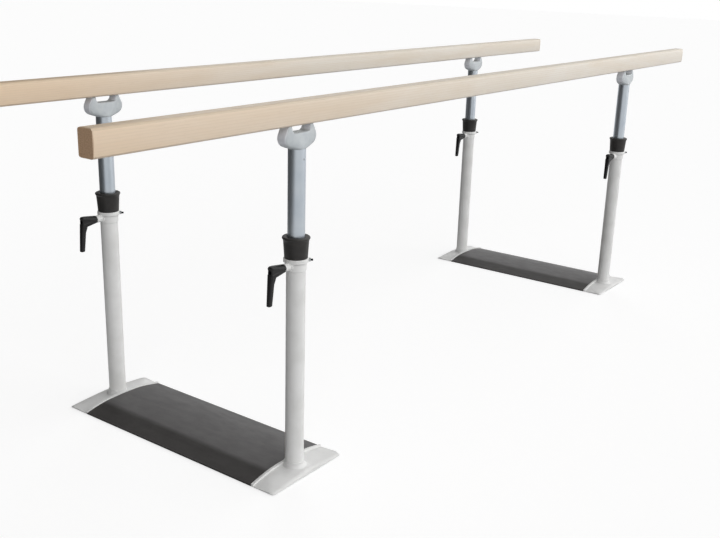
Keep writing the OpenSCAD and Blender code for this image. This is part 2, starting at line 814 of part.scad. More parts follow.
module every_post() {
  for (end = [-1, 1], side = [-1, 1]) at_post(end, side) children();
}

module ring_set_screws() {
  color("dimgray") every_post() set_screw();
}

module ring_lock_nuts() {
  color("silver") every_post() lock_nut();
}

module pressure_pads() {
  color("goldenrod") every_post() pressure_pad();
}

module tread_screws() {
  color("silver") for (end = [-1, 1]) translate([end * post_spacing / 2, 0, 0])
    at_tread_screws() tread_screw();
}

module post_plugs() {
  color("silver") every_post() post_plug();
}

module post_bolts() {
  color("silver") every_post() post_bolt();
}

module rubber_feet() {
  color("dimgray") for (end = [-1, 1], side = [-1, 1], x = [-1, 1])
    at_post(end, side) translate([x * foot_x, side * foot_y, 0]) rubber_foot();
}

rail(1);  // left_rail
rail(-1);  // right_rail
at_post(-1, 1) fork();  // front_left_fork
at_post(-1, -1) fork();  // front_right_fork
at_post(1, 1) fork();  // rear_left_fork
at_post(1, -1) fork();  // rear_right_fork
at_post(-1, 1) inner_tube();  // front_left_inner_tube
at_post(-1, -1) inner_tube();  // front_right_inner_tube
at_post(1, 1) inner_tube();  // rear_left_inner_tube
at_post(1, -1) inner_tube();  // rear_right_inner_tube
glide_plugs(1);  // left_glide_plugs
glide_plugs(-1);  // right_glide_plugs
fork_pins(1);  // left_fork_pins
fork_pins(-1);  // right_fork_pins
rail_screws(1);  // left_rail_screws
rail_screws(-1);  // right_rail_screws
at_post(-1, 1) outer_tube();  // front_left_outer_tube
at_post(-1, -1) outer_tube();  // front_right_outer_tube
at_post(1, 1) outer_tube();  // rear_left_outer_tube
at_post(1, -1) outer_tube();  // rear_right_outer_tube
at_post(-1, 1) guide_bush();  // front_left_guide_bush
at_post(-1, -1) guide_bush();  // front_right_guide_bush
at_post(1, 1) guide_bush();  // rear_left_guide_bush
at_post(1, -1) guide_bush();  // rear_right_guide_bush
at_post(-1, 1) clamp_ring();  // front_left_clamp_ring
at_post(-1, -1) clamp_ring();  // front_right_clamp_ring
at_post(1, 1) clamp_ring();  // rear_left_clamp_ring
at_post(1, -1) clamp_ring();  // rear_right_clamp_ring
ring_set_screws();
ring_lock_nuts();
pressure_pads();
at_post(-1, 1) stud();  // front_left_stud
at_post(-1, -1) stud();  // front_right_stud
at_post(1, 1) stud();  // rear_left_stud
at_post(1, -1) stud();  // rear_right_stud
at_post(-1, 1) lever();  // front_left_lever
at_post(-1, -1) lever();  // front_right_lever
at_post(1, 1) lever();  // rear_left_lever
at_post(1, -1) lever();  // rear_right_lever
at_post(-1, 1) lever_spring();  // front_left_lever_spring
at_post(-1, -1) lever_spring();  // front_right_lever_spring
at_post(1, 1) lever_spring();  // rear_left_lever_spring
at_post(1, -1) lever_spring();  // rear_right_lever_spring
at_post(-1, 1) lever_screw();  // front_left_lever_screw
at_post(-1, -1) lever_screw();  // front_right_lever_screw
at_post(1, 1) lever_screw();  // rear_left_lever_screw
at_post(1, -1) lever_screw();  // rear_right_lever_screw
at_post(-1, 1) shoe(1);  // front_left_shoe
at_post(-1, -1) shoe(-1);  // front_right_shoe
at_post(1, 1) shoe(1);  // rear_left_shoe
at_post(1, -1) shoe(-1);  // rear_right_shoe
tread_plate(-1);  // front_tread_plate
tread_plate(1);  // rear_tread_plate
tread_mat(-1);  // front_tread_mat
tread_mat(1);  // rear_tread_mat
tread_screws();
post_plugs();
post_bolts();
rubber_feet();
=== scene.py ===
import json
import math
import bpy
from mathutils import Matrix, Vector


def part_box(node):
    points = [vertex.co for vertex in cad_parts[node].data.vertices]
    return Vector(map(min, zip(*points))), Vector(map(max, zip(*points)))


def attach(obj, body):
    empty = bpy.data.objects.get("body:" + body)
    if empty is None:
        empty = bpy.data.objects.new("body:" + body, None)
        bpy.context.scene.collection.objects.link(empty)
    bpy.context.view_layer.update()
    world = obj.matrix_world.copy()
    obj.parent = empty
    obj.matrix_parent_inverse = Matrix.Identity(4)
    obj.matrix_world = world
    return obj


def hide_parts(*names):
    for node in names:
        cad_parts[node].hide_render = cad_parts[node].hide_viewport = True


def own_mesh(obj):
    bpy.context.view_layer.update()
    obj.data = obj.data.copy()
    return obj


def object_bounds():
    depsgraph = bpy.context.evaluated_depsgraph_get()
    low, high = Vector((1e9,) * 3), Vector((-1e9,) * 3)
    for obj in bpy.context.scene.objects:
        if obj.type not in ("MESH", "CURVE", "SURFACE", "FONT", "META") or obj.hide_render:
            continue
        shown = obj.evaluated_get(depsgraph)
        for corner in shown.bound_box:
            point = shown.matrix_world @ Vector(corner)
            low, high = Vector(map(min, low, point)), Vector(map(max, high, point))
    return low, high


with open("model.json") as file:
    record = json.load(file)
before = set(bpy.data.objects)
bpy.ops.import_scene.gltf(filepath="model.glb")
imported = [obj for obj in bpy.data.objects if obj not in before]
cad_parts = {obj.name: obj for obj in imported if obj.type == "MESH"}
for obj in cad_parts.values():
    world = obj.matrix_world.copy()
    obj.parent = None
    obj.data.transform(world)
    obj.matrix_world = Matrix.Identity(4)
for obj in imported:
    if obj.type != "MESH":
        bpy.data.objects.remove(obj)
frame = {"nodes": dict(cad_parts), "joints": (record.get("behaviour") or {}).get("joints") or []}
cadBox = [list(corner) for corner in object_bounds()]
nodes = frame["nodes"]
print("frame loaded:", len(nodes), "nodes")

postNames = ["front_left", "front_right", "rear_left", "rear_right"]


def hexColour(code):
    # sRGB hex to the linear values that the shaders use
    parts = [int(code[i:i + 2], 16) / 255 for i in (0, 2, 4)]
    return [p / 12.92 if p <= 0.04045 else ((p + 0.055) / 1.055) ** 2.4 for p in parts] + [1.0]


def joinInputs(tree, node, links):
    # links are input: (source node, its output)
    for name, (source, output) in links.items():
        tree.links.new(source.outputs[output], node.inputs[name])


def addNode(tree, kind, settings=None, links=None, props=None, stops=None):
    # settings are input values, props are the node's own, stops are a ramp's (position, hex)
    made = tree.nodes.new(kind)
    for name, value in (props or {}).items():
        setattr(made, name, value)
    for name, value in (settings or {}).items():
        made.inputs[name].default_value = value
    joinInputs(tree, made, links or {})
    if stops:
        elements = made.color_ramp.elements
        while len(elements) < len(stops):
            elements.new(0.5)  # moved to its place below
        for element, (position, code) in zip(elements, stops):
            element.position = position
            element.color = hexColour(code)
    return made


def newMaterial(name, settings):
    # an empty material with its principled shader
    material = bpy.data.materials.new(name)
    material.use_nodes = True
    tree = material.node_tree
    tree.nodes.clear()
    shader = addNode(tree, "ShaderNodeBsdfPrincipled", settings)
    addNode(tree, "ShaderNodeOutputMaterial", links={"Surface": (shader, "BSDF")})
    return material, tree, shader


def patternCoords(tree, sizeMm=(1, 1, 1)):
    # object coordinates in which one unit is a pattern's real size in millimetres
    place = addNode(tree, "ShaderNodeTexCoord")
    return addNode(tree, "ShaderNodeMapping", {"Scale": [1000 / mm for mm in sizeMm]},
                   {"Vector": (place, "Object")})


def facingParts(tree):
    # the way a face turns, which tells top, sides and ends apart
    place = addNode(tree, "ShaderNodeTexCoord")
    return addNode(tree, "ShaderNodeSeparateXYZ", links={"Vector": (place, "Normal")})


# beech, planed and lacquered: pale warm wood with fine brown flecks along the rail, a board
# that runs pinker towards its heartwood end, and a painted shade on the top and its edges
beech = {"pale": "E3DCD1", "warm": "DCD0BF", "figureMm": (420, 60, 60),
         "figureRange": (0.32, 0.62),
         "heart": "E1C19C", "heartRunMm": (-1500, -100), "heartLeft": 0.85, "heartRight": 0.6,
         "ring": "CFBDA3", "ringMm": 5.5, "ringRunMm": 900, "ringRange": (0.55, 1.0),
         "ringStrength": 0.22,
         "fleck": "C4A98C", "fleckMm": 1.1, "fleckLengthMm": 26, "fleckRange": (0.6, 0.76),
         "fleckStrength": 0.32, "fleckRelief": 0.12, "fleckDepthMm": 0.25,
         # the next colour is a painted shade, multiplied onto faces that look upwards
         "paintedTopShade": "E2DFD8", "topFacing": (0.2, 0.5),
         "endGrain": "DCB895", "endPore": "B89474", "endPoreMm": 2.2, "endPoreRange": (0.3, 0.7),
         "endFacing": (0.55, 0.9),
         "roughness": 0.45, "lacquer": 0.25, "lacquerRoughness": 0.3}
waveLength = 0.31  # what one wave of a wave texture takes up at scale 1


def lacqueredBeech(name, heartStrength):
    material, tree, shader = newMaterial(name, {
        "Roughness": beech["roughness"], "IOR": 1.5, "Coat Weight": beech["lacquer"],
        "Coat Roughness": beech["lacquerRoughness"]})
    # broad figure of the sapwood, and the heartwood that fades out along the board
    figure = addNode(tree, "ShaderNodeTexNoise",
                     {"Scale": 1.0, "Detail": 5.0, "Roughness": 0.6, "Distortion": 0.6},
                     {"Vector": (patternCoords(tree, beech["figureMm"]), "Vector")})
    warmUpTo, paleFrom = beech["figureRange"]
    sapwood = addNode(tree, "ShaderNodeValToRGB", links={"Fac": (figure, "Fac")},
                      stops=[(warmUpTo, beech["warm"]), (paleFrom, beech["pale"])])
    along = addNode(tree, "ShaderNodeSeparateXYZ",
                    links={"Vector": (patternCoords(tree), "Vector")})
    heartStart, heartEnd = beech["heartRunMm"]
    heartFade = addNode(tree, "ShaderNodeMapRange",
                        {"From Min": heartStart, "From Max": heartEnd,
                         "To Min": heartStrength, "To Max": 0.0}, {"Value": (along, "X")})
    board = addNode(tree, "ShaderNodeMix", {"B": hexColour(beech["heart"])},
                    {"Factor": (heartFade, "Result"), "A": (sapwood, "Color")},
                    {"data_type": "RGBA"})
    # growth rings, drawn wide enough to show: long arcs where the saw ran through them
    rings = addNode(tree, "ShaderNodeTexWave",
                    {"Scale": waveLength / beech["ringMm"], "Distortion": 9.0, "Detail": 3.0,
                     "Detail Scale": 0.35},
                    {"Vector": (patternCoords(tree, (beech["ringRunMm"], 1, 1)), "Vector")},
                    {"wave_type": "RINGS", "rings_direction": "X"})
    ringStart, ringFull = beech["ringRange"]
    ringFade = addNode(tree, "ShaderNodeMapRange",
                       {"From Min": ringStart, "From Max": ringFull,
                        "To Max": beech["ringStrength"]}, {"Value": (rings, "Fac")})
    ringed = addNode(tree, "ShaderNodeMix", {"B": hexColour(beech["ring"])},
                     {"Factor": (ringFade, "Result"), "A": (board, "Result")},
                     {"data_type": "RGBA"})
    # ray flecks, about 1 mm wide and drawn longer than real so that they show
    fleckMm = (beech["fleckLengthMm"], beech["fleckMm"], beech["fleckMm"])
    flecks = addNode(tree, "ShaderNodeTexNoise",
                     {"Scale": 1.0, "Detail": 2.0, "Roughness": 0.5},
                     {"Vector": (patternCoords(tree, fleckMm), "Vector")})
    fleckStart, fleckFull = beech["fleckRange"]
    fleckFade = addNode(tree, "ShaderNodeMapRange",
                        {"From Min": fleckStart, "From Max": fleckFull,
                         "To Max": beech["fleckStrength"]}, {"Value": (flecks, "Fac")})
    flecked = addNode(tree, "ShaderNodeMix", {"B": hexColour(beech["fleck"])},
                      {"Factor": (fleckFade, "Result"), "A": (ringed, "Result")},
                      {"data_type": "RGBA"})
    # what faces upwards is darkened, a painted shade that tones down the light on the top and its
    # rounded edges
    facing = facingParts(tree)
    topStart, topFull = beech["topFacing"]
    upper = addNode(tree, "ShaderNodeMapRange", {"From Min": topStart, "From Max": topFull},
                    {"Value": (facing, "Z")})
    paintedTopShade = addNode(tree, "ShaderNodeMix", {"B": hexColour(beech["paintedTopShade"])},
                      {"Factor": (upper, "Result"), "A": (flecked, "Result")},
                      {"data_type": "RGBA", "blend_type": "MULTIPLY"})
    # the sawn ends soak up lacquer and look browner; their pores are drawn 2 mm wide to show
    endPlace = patternCoords(tree, (1, beech["endPoreMm"], beech["endPoreMm"]))
    pores = addNode(tree, "ShaderNodeTexNoise", {"Scale": 1.0, "Detail": 4.0},
                    {"Vector": (endPlace, "Vector")})
    poreUpTo, grainFrom = beech["endPoreRange"]
    sawn = addNode(tree, "ShaderNodeValToRGB", links={"Fac": (pores, "Fac")},
                   stops=[(poreUpTo, beech["endPore"]), (grainFrom, beech["endGrain"])])
    across = addNode(tree, "ShaderNodeMath", links={0: (facing, "X")},
                     props={"operation": "ABSOLUTE"})
    endStart, endFull = beech["endFacing"]
    ends = addNode(tree, "ShaderNodeMapRange", {"From Min": endStart, "From Max": endFull},
                   {"Value": (across, "Value")})
    wood = addNode(tree, "ShaderNodeMix", links={"Factor": (ends, "Result"),
                   "A": (paintedTopShade, "Result"), "B": (sawn, "Color")},
                   props={"data_type": "RGBA"})
    bump = addNode(tree, "ShaderNodeBump", {"Strength": beech["fleckRelief"],
                   "Distance": beech["fleckDepthMm"] / 1000}, {"Height": (flecks, "Fac")})
    joinInputs(tree, shader, {"Base Color": (wood, "Result"), "Normal": (bump, "Normal")})
    return material


# natural rubber, calendered sheet: matt dark grey with a face of 2 mm pebbles; dust and soles
# have greyed the top and the ramp stepped down; the ramp stepped up and its toe are darker, a
# painted shade, as they face away from the key light; the cut edges are nearly black, the fresh
# rubber's own dark with a painted shade of their contact shadow; scuffs run across the walkway,
# as shoes drag; zones gives each part's place in leanRange, from faces that lean back to faces
# that lean on
rubber = {"top": "5C5B5B", "ramp": "32302F", "shadedToe": "3E3C3B", "cut": "1B1A19",
          "leanRange": (-0.3, 0.3),
          "zones": [(0.05, "cut"), (0.13, "shadedToe"), (0.21, "ramp"), (0.26, "ramp"), (0.35, "top"),
                    (0.87, "top"), (0.95, "cut")],
          "scuffDark": "F0F0F0", "scuffPale": "FFFFFF", "scuffMm": (22, 55, 22),
          "scuffRange": (0.3, 0.7), "roughness": (0.66, 0.52),
          "pebbleMm": 2.4, "pebbleRelief": 0.35, "pebbleDepthMm": 0.3}


def pebbledRubber():
    material, tree, shader = newMaterial("pebbledRubberSheet", {
        "IOR": 1.52, "Specular IOR Level": 0.3})
    pebble = addNode(tree, "ShaderNodeTexVoronoi", {"Scale": 1 / rubber["pebbleMm"]},
                     {"Vector": (patternCoords(tree), "Vector")}, {"feature": "SMOOTH_F1"})
    scuff = addNode(tree, "ShaderNodeTexNoise", {"Scale": 1.0, "Detail": 6.0, "Roughness": 0.65},
                    {"Vector": (patternCoords(tree, rubber["scuffMm"]), "Vector")})
    darkUpTo, paleFrom = rubber["scuffRange"]
    scuffed = addNode(tree, "ShaderNodeValToRGB", links={"Fac": (scuff, "Fac")},
                      stops=[(darkUpTo, rubber["scuffDark"]), (paleFrom, rubber["scuffPale"])])
    leanBack, leanOn = rubber["leanRange"]
    lean = addNode(tree, "ShaderNodeMapRange", {"From Min": leanBack, "From Max": leanOn},
                   {"Value": (facingParts(tree), "X")})
    # the zones lay a painted shade on the ramp stepped up and its toe, and partly on the cut edges
    zones = addNode(tree, "ShaderNodeValToRGB", links={"Fac": (lean, "Result")},
                    stops=[(position, rubber[part]) for position, part in rubber["zones"]])
    worn = addNode(tree, "ShaderNodeMix", {"Factor": 1.0},
                   {"A": (zones, "Color"), "B": (scuffed, "Color")},
                   {"data_type": "RGBA", "blend_type": "MULTIPLY"})
    matt, rubbed = rubber["roughness"]
    rough = addNode(tree, "ShaderNodeMapRange",
                    {"From Min": darkUpTo, "From Max": paleFrom, "To Min": matt,
                     "To Max": rubbed}, {"Value": (scuff, "Fac")})
    bump = addNode(tree, "ShaderNodeBump", {"Strength": rubber["pebbleRelief"],
                   "Distance": rubber["pebbleDepthMm"] / 1000}, {"Height": (pebble, "Distance")})
    joinInputs(tree, shader, {"Base Color": (worn, "Result"), "Roughness": (rough, "Result"),
                              "Normal": (bump, "Normal")})
    return material


def grainedFinish(look):
    # clouds blend the two colours, a fine grain gives the relief, and one of the two patterns
    # spreads the roughness
    material, tree, shader = newMaterial(look["name"], look["shader"])
    grain = addNode(tree, "ShaderNodeTexNoise", {"Scale": 1.0, "Detail": look["grainDetail"]},
                    {"Vector": (patternCoords(tree, look["grainMm"]), "Vector")})
    cloud = addNode(tree, "ShaderNodeTexNoise",
                    {"Scale": 1 / look["cloudMm"], "Detail": look["cloudDetail"]},
                    {"Vector": (patternCoords(tree), "Vector")})
    darkUpTo, paleFrom = look["cloudRange"]
    tone = addNode(tree, "ShaderNodeValToRGB", links={"Fac": (cloud, "Fac")},
                   stops=[(darkUpTo, look["dark"]), (paleFrom, look["pale"])])
    colour = (tone, "Color")
    if "rim" in look:
        # faces that look along the bars get a paler colour, a painted light on sides that lie in
        # shade
        across = addNode(tree, "ShaderNodeMath", links={0: (facingParts(tree), "X")},
                         props={"operation": "ABSOLUTE"})
        rimStart, rimFull = look["rimFacing"]
        rim = addNode(tree, "ShaderNodeMapRange", {"From Min": rimStart, "From Max": rimFull},
                      {"Value": (across, "Value")})
        sideLightMix = addNode(tree, "ShaderNodeMix", {"B": hexColour(look["rim"])},
                         {"Factor": (rim, "Result"), "A": colour}, {"data_type": "RGBA"})
        colour = (sideLightMix, "Result")
    smoothUpTo, dullFrom = look["roughRange"]
    smooth, dull = look["roughness"]
    rough = addNode(tree, "ShaderNodeMapRange",
                    {"From Min": smoothUpTo, "From Max": dullFrom, "To Min": smooth,
                     "To Max": dull},
                    {"Value": (cloud if look["roughBy"] == "cloud" else grain, "Fac")})
    bump = addNode(tree, "ShaderNodeBump",
                   {"Strength": look["relief"], "Distance": look["reliefMm"] / 1000},
                   {"Height": (grain, "Fac")})
    joinInputs(tree, shader, {"Base Color": colour, "Roughness": (rough, "Result"),
                              "Normal": (bump, "Normal")})
    return material


# steel tube, ground and chromed: cool bright metal with faint grinding rings, which are drawn
# 1.6 mm apart because the real ones are too fine to show
tubeChrome = {"name": "satinChromedSteel", "shader": {"Metallic": 1.0},
              "dark": "AFB7BF", "pale": "B9C0C6",
              "cloudMm": 50, "cloudDetail": 4, "cloudRange": (0.35, 0.65),
              "grainMm": (30, 30, 1.6), "grainDetail": 3, "relief": 0.03, "reliefMm": 0.05,
              "roughness": (0.33, 0.40), "roughRange": (0.35, 0.7), "roughBy": "grain"}

# aluminium, gravity cast and tumbled: pale grey metal with a fine dull grain, and a painted light
# on the faces that look along the bars, which lie in shade; the dull skin scatters light, so it is
# only slightly metallic, and its grain is drawn about three times coarser than real, to show
forkCasting = {"name": "tumbledCastAluminium", "shader": {"Metallic": 0.1},
               "dark": "B4BABE", "pale": "BFC4C6", "rim": "EDF0F7", "rimFacing": (0.5, 0.9),
               "cloudMm": 14, "cloudDetail": 4, "cloudRange": (0.3, 0.65),
               "grainMm": (0.9, 0.9, 0.9), "grainDetail": 3, "relief": 0.3, "reliefMm": 0.12,
               "roughness": (0.44, 0.60), "roughRange": (0.3, 0.7), "roughBy": "grain"}

# white polyester powder coat: soft gloss with a slight orange peel, finer on the small rings
# and coarser on the castings, and a faint greying in clouds
powderCoat = {"shader": {"IOR": 1.5, "Specular IOR Level": 0.4},
              "cloudMm": 70, "cloudDetail": 5, "cloudRange": (0.3, 0.6),
              "grainDetail": 2, "relief": 0.25, "roughRange": (0.3, 0.7), "roughBy": "cloud"}
tubeCoat = {**powderCoat, "name": "whitePowderCoatTube", "dark": "E0E0DE", "pale": "EDEDEC",
            "grainMm": (1.8, 1.8, 1.8), "reliefMm": 0.05, "roughness": (0.40, 0.52)}
ringCoat = {**powderCoat, "name": "whitePowderCoatRing", "dark": "E6E6E5", "pale": "F1F1F0",
            "grainMm": (1.2, 1.2, 1.2), "reliefMm": 0.05, "roughness": (0.40, 0.52)}
shoeCoat = {**powderCoat, "name": "whitePowderCoatCasting", "dark": "D9D9D8", "pale": "E6E6E5",
            "grainMm": (2.2, 2.2, 2.2), "reliefMm": 0.12, "roughness": (0.42, 0.54)}

# nylon and rubber, moulded in a spark-eroded tool: a matt grain, drawn about four times
# coarser than real so that it shows, in charcoal, black or the milky white of natural nylon
mouldedSkin = {"shader": {"IOR": 1.5, "Specular IOR Level": 0.3},
               "cloudMm": 18, "cloudDetail": 4, "cloudRange": (0.35, 0.75),
               "grainMm": (0.8, 0.8, 0.8), "grainDetail": 3, "relief": 0.25, "reliefMm": 0.08,
               "roughRange": (0.3, 0.7), "roughBy": "grain"}
bushNylon = {**mouldedSkin, "name": "charcoalMouldedNylon", "dark": "272625", "pale": "333130",
             "roughness": (0.45, 0.58)}
leverNylon = {**mouldedSkin, "name": "blackGlassFilledNylon", "dark": "0D0C0D",
              "pale": "151415", "roughness": (0.40, 0.53)}
footRubber = {**mouldedSkin, "name": "blackMouldedRubber", "dark": "2C2B2A", "pale": "383634",
              "roughness": (0.65, 0.78)}
glideNylon = {**mouldedSkin, "name": "naturalMouldedNylon", "dark": "DAD6C6", "pale": "E6E3D8",
              "roughness": (0.35, 0.48)}

# small steel and brass pieces, turned, drawn or rolled: bright or blackened metal with turning
# marks, drawn coarser than the real ones, which are too fine to show
turnedMetal = {"shader": {"Metallic": 1.0},
               "cloudMm": 6, "cloudDetail": 4, "cloudRange": (0.3, 0.7),
               "grainMm": (0.9, 0.9, 0.9), "grainDetail": 2, "relief": 0.15, "reliefMm": 0.04,
               "roughRange": (0.3, 0.7), "roughBy": "grain"}
fastenerZinc = {**turnedMetal, "name": "zincPlatedSteel", "dark": "9B9E9F", "pale": "B4B7B8",
                "roughness": (0.28, 0.40)}
setScrewSteel = {**turnedMetal, "name": "blackOxideTurnedSteel", "dark": "1E1F21", "pale": "2B2C2E",
                 "roughness": (0.35, 0.47)}
leverScrewSteel = {**turnedMetal, "name": "blackOxideScrewSteel", "dark": "17181A",
                   "pale": "202123", "roughness": (0.40, 0.52)}
padBrass = {**turnedMetal, "name": "turnedBrass", "dark": "9A8148", "pale": "B59A5B",
            "roughness": (0.30, 0.42)}
plateSteel = {**turnedMetal, "name": "galvanisedSteelSheet", "dark": "84888A", "pale": "9DA1A3",
              "roughness": (0.45, 0.57)}
springSteel = {**turnedMetal, "name": "drawnSpringSteel", "dark": "8A8D90", "pale": "A5A8AB",
               "roughness": (0.25, 0.37)}

# each piece's finish by the end of its name; the other fasteners are zinc plated
finishes = {
    "left_rail": lacqueredBeech("lacqueredBeechPink", beech["heartLeft"]),
    "right_rail": lacqueredBeech("lacqueredBeechPale", beech["heartRight"]),
    "fork": grainedFinish(forkCasting),
    "inner_tube": grainedFinish(tubeChrome),
    "outer_tube": grainedFinish(tubeCoat),
    "clamp_ring": grainedFinish(ringCoat),
    "shoe": grainedFinish(shoeCoat),
    "guide_bush": grainedFinish(bushNylon),
    "lever": grainedFinish(leverNylon),
    "tread_mat": pebbledRubber(),
    "rubber_feet": grainedFinish(footRubber),
    "glide_plugs": grainedFinish(glideNylon),
    "ring_set_screws": grainedFinish(setScrewSteel),
    "lever_screw": grainedFinish(leverScrewSteel),
    "pressure_pads": grainedFinish(padBrass),
    "tread_plate": grainedFinish(plateSteel),
    "lever_spring": grainedFinish(springSteel),
    "": grainedFinish(fastenerZinc),
}
for name, node in nodes.items():
    ending = next(key for key in finishes if name.endswith(key))
    node.data.materials.clear()
    node.data.materials.append(finishes[ending])
print("materials made:", len(finishes))


# the weld joins the frame's loose faces; corners sharper than roundDeg are rounded, and what
# is still sharper than crispDeg stays crisp
meshForm = {"weldMm": 0.02, "roundDeg": 30, "roundSegments": 2, "crispDeg": 40}


def addWeld(node):
    weld = node.modifiers.new("weld", "WELD")
    weld.merge_threshold = meshForm["weldMm"] / 1000


def roundEdges(node, widthMm):
    # smooth walls with softly broken corners
    addWeld(node)
    bevel = node.modifiers.new("roundEdges", "BEVEL")
    bevel.width = widthMm / 1000
    bevel.segments = meshForm["roundSegments"]
    bevel.limit_method = "ANGLE"
    bevel.angle_limit = math.radians(meshForm["roundDeg"])
    bevel.use_clamp_overlap = True
    # takes out the empty faces that a very short edge leaves
    addWeld(node)
    split = node.modifiers.new("split", "EDGE_SPLIT")
    split.split_angle = math.radians(meshForm["crispDeg"])
    # wide faces keep their own direction, only the rounded strips turn
    settle = node.modifiers.new("settle", "WEIGHTED_NORMAL")
    settle.keep_sharp = True


def castSurface(node, voxelMm, smoothPasses):
    # one skin over the casting, with every corner run soft as a foundry leaves it
    addWeld(node)
    skin = node.modifiers.new("skin", "REMESH")
    skin.mode = "VOXEL"
    skin.voxel_size = voxelMm / 1000
    skin.use_smooth_shade = True
    smooth = node.modifiers.new("smooth", "SMOOTH")
    smooth.factor = 0.5
    smooth.iterations = smoothPasses


def fullerForm(node, growMm, centre, axis, boreMm, fadeMm):
    # moves the skin outwards, to give back what the smoothing took off, and leaves a bore
    # about the axis as it is
    group = bpy.data.node_groups.new("fuller_" + node.name, "GeometryNodeTree")
    for way in ("INPUT", "OUTPUT"):
        group.interface.new_socket("Geometry", in_out=way, socket_type="NodeSocketGeometry")
    fromCentre = addNode(group, "ShaderNodeVectorMath", {1: centre},
                         {0: (addNode(group, "GeometryNodeInputPosition"), "Position")},
                         {"operation": "SUBTRACT"})
    across = addNode(group, "ShaderNodeVectorMath", {1: axis}, {0: (fromCentre, "Vector")},
                     {"operation": "CROSS_PRODUCT"})
    radius = addNode(group, "ShaderNodeVectorMath", links={0: (across, "Vector")},
                     props={"operation": "LENGTH"})
    grow = addNode(group, "ShaderNodeMapRange",
                   {"From Min": boreMm / 1000, "From Max": (boreMm + fadeMm) / 1000,
                    "To Max": growMm / 1000}, {"Value": (radius, "Value")})
    push = addNode(group, "ShaderNodeVectorMath",
                   links={0: (addNode(group, "GeometryNodeInputNormal"), "Normal"),
                          "Scale": (grow, "Result")}, props={"operation": "SCALE"})
    moved = addNode(group, "GeometryNodeSetPosition",
                    links={"Geometry": (addNode(group, "NodeGroupInput"), "Geometry"),
                           "Offset": (push, "Vector")})
    addNode(group, "NodeGroupOutput", links={"Geometry": (moved, "Geometry")})
    node.modifiers.new("fuller", "NODES").node_group = group


# the forks have no bore; the lever's keeps its radius, and the growth sets in over fadeMm
castForm = {"fork": {"voxelMm": 0.9, "smoothPasses": 14, "growMm": 0.3, "boreMm": 0,
                     "fadeMm": 0.8},
            "lever": {"voxelMm": 0.5, "smoothPasses": 3, "growMm": 0.9, "boreMm": 8,
                      "fadeMm": 0.8}}
for post in postNames:
    turn = next(j for j in frame["joints"] if j["name"] == post + "_clamp_turn")
    for piece, form in castForm.items():
        node = nodes[post + "_" + piece]
        castSurface(node, form["voxelMm"], form["smoothPasses"])
        fullerForm(node, form["growMm"], turn["pos_m"], turn["axis"], form["boreMm"],
                   form["fadeMm"])
edgeWidthMm = {"clamp_ring": 0.4, "shoe": 1.0, "tread_mat": 0.5, "guide_bush": 0.4,
               "outer_tube": 0.3, "inner_tube": 0.3, "rail": 0.4}
for name, node in nodes.items():
    for ending, widthMm in edgeWidthMm.items():
        if name.endswith("_" + ending):
            node.data.shade_smooth()
            roundEdges(node, widthMm)
print("castings and edges softened")

# return spring of each lever: round wire with a closed turn at both ends
spring = {"turns": 6, "coilRadiusMm": 3.7, "wireRadiusMm": 0.5, "closedTurns": 1,
          "closedPitchMm": 1.05, "travelMm": 4, "wireSides": 10, "turnSteps": 32}


def coilSpring(post):
    low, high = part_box(post + "_lever_spring")
    wire, coil = spring["wireRadiusMm"] / 1000, spring["coilRadiusMm"] / 1000
    start, length = low.x + wire, high.x - low.x - 2 * wire
    closed, turns = spring["closedTurns"], spring["turns"]
    closedPitch = spring["closedPitchMm"] / 1000
    openPitch = (length - 2 * closed * closedPitch) / (turns - 2 * closed)
    middleY, middleZ = (low.y + high.y) / 2, (low.z + high.z) / 2
    sides, steps = spring["wireSides"], turns * spring["turnSteps"]
    points, faces = [], []
    for i in range(steps + 1):
        turned = turns * i / steps
        first, last = min(turned, closed), max(turned - (turns - closed), 0)
        advance = closedPitch * (first + last) + openPitch * (turned - first - last)
        roundCoil = 2 * math.pi * turned
        for j in range(sides):
            roundWire = 2 * math.pi * j / sides
            radius = coil + wire * math.cos(roundWire)
            points.append((start + advance + wire * math.sin(roundWire),
                           middleY + radius * math.cos(roundCoil),
                           middleZ + radius * math.sin(roundCoil)))
            if i < steps:
                k = (j + 1) % sides
                faces.append((i * sides + j, i * sides + k, (i + 1) * sides + k,
                              (i + 1) * sides + j))
    faces.append(tuple(reversed(range(sides))))
    faces.append(tuple(steps * sides + j for j in range(sides)))
    mesh = bpy.data.meshes.new(post + "_coil")
    mesh.from_pydata(points, [], faces)
    mesh.shade_smooth()
    mesh.materials.append(finishes["lever_spring"])
    coilPiece = bpy.data.objects.new(post + "_coil", mesh)
    bpy.context.scene.collection.objects.link(coilPiece)
    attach(coilPiece, post + "_clamp")
    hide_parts(post + "_lever_spring")
    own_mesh(coilPiece)


for post in postNames:
    coilSpring(post)
print("springs wound")

# stage: a pale floor and a white surround, a key light from the right, a wide soft light from
# beside the camera, a low one for the far sides, and two dark flags that are seen only
# mirrored, along the left sides of the tubes
studio = {"white": "FFFFFF", "floor": "A4A4A4", "floorMetres": 60, "floorGlow": 0.715,
          "worldStrength": 0.13, "flag": "5E5E5E", "flagFade": (-5.0, -0.7)}
flags = {"sideFlag": {"place": (-2.155, 0.421, 1.1), "turnDeg": 35.9, "size": (10.0, 2.2)},
         "rearFlag": {"place": (0.042, 0.211, 0.45), "turnDeg": 76.0, "size": (1.6, 0.88)}}
lamps = {"keyLight": {"strength": 2.0, "softDeg": 80, "toward": (0.64, -0.55, 0.53),
                      "mirrored": True},
         "softLight": {"strength": 1.4, "softDeg": 60, "toward": (-0.46, -0.82, 0.34),
                       "mirrored": False},
         "farLight": {"strength": 1.4, "softDeg": 30, "toward": (0.77, 0.62, 0.15),
                      "mirrored": False}}


def flatPanel(name, width, height, material):
    mesh = bpy.data.meshes.new(name)
    x, y = width / 2, height / 2
    mesh.from_pydata([(-x, -y, 0), (x, -y, 0), (x, y, 0), (-x, y, 0)], [], [(0, 1, 2, 3)])
    mesh.materials.append(material)
    panel = bpy.data.objects.new(name, mesh)
    bpy.context.scene.collection.objects.link(panel)
    return panel


